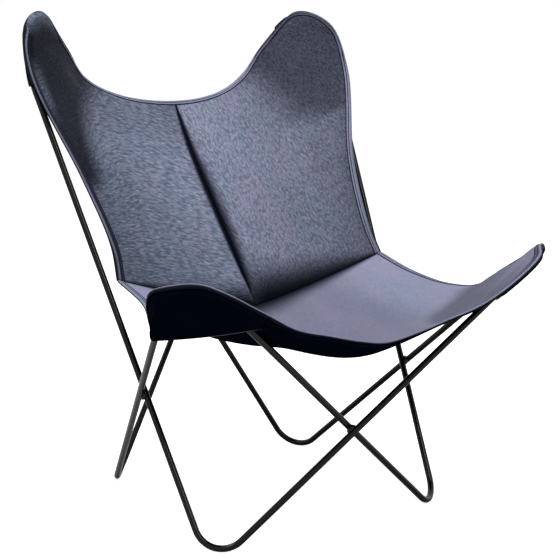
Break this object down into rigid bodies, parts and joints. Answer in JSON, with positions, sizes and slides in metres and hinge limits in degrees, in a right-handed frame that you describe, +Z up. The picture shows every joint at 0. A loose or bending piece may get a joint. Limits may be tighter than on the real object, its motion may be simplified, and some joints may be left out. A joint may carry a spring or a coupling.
{
  "type": "butterfly sling chair",
  "caption": "Lounge chair: a sewn leather sling hung by four corner pockets on crossed loops of bent steel rod.",
  "frame": {"origin": "centre of the chair's outline seen from above, on the floor", "axes": "+Z up, the sitter faces -Y, +X is on the right as seen from the front"},
  "size_m": [0.8054, 0.8324, 0.9336],
  "materials": {
    "rod_steel": "black satin powder coat on round steel rod",
    "sling_leather": "navy-black saddle leather with a fine pebble grain",
    "edge_binding": "black turned and stitched leather edge"
  },
  "bodies": {
    "root": {"rod_loop_right": "rod_steel", "rod_loop_left": "rod_steel", "weld_front": "rod_steel", "weld_rear": "rod_steel", "weld_left": "rod_steel", "weld_right": "rod_steel", "back_panel_left": "sling_leather", "back_panel_right": "sling_leather", "seat_panel": "sling_leather", "back_pocket_left": "sling_leather", "back_pocket_right": "sling_leather", "seat_pocket_left": "sling_leather", "seat_pocket_right": "sling_leather", "back_edge_binding": "edge_binding", "seat_edge_binding": "edge_binding", "centre_seam_strip": "sling_leather", "lumbar_seam_strip": "sling_leather"}
  },
  "joints": []
}
